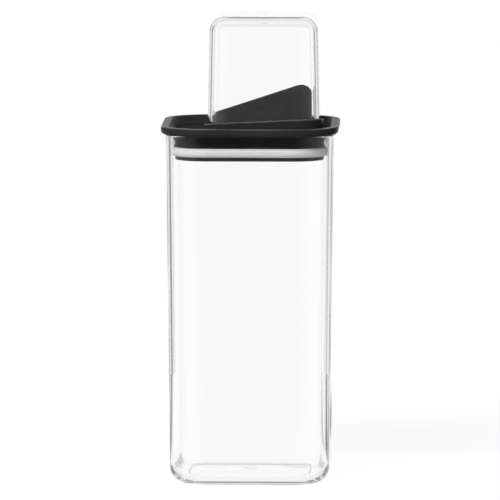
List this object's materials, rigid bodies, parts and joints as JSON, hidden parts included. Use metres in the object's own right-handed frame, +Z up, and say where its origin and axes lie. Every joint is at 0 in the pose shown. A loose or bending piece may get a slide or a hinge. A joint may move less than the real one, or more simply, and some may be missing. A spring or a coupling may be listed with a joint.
{
  "type": "airtight food storage container",
  "caption": "Tall clear rounded-square food keeper with a dark gasketed plug lid, a slanted pour spout and a clear measuring cup that covers the spout.",
  "frame": {"origin": "centre of the base, on the surface it stands on", "axes": "+Z up, +X towards the tip of the spout, +Y towards the back"},
  "size_m": [0.1162, 0.1162, 0.3062],
  "materials": {
    "jar_clear": "clear moulded plastic, polished",
    "lid_charcoal": "charcoal moulded plastic, fine satin texture",
    "gasket_silicone": "translucent white silicone",
    "retainer_charcoal": "charcoal moulded plastic, fine satin texture",
    "spout_charcoal": "charcoal moulded plastic, fine satin texture",
    "seal_silicone": "translucent white silicone",
    "cup_clear": "clear moulded plastic, polished"
  },
  "bodies": {
    "container": {"container": "jar_clear"},
    "lid": {"lid": "lid_charcoal", "lid_gasket": "gasket_silicone", "gasket_retainer": "retainer_charcoal", "pour_spout": "spout_charcoal", "cup_seal": "seal_silicone"},
    "cup": {"measuring_cup": "cup_clear"}
  },
  "joints": [
    {"name": "lid_lift", "type": "slide", "parent": "container", "child": "lid", "axis": [0, 0, 1], "range_m": [0, 0.04]},
    {"name": "cup_lift", "type": "slide", "parent": "lid", "child": "cup", "axis": [0, 0, 1], "range_m": [0, 0.05]}
  ]
}
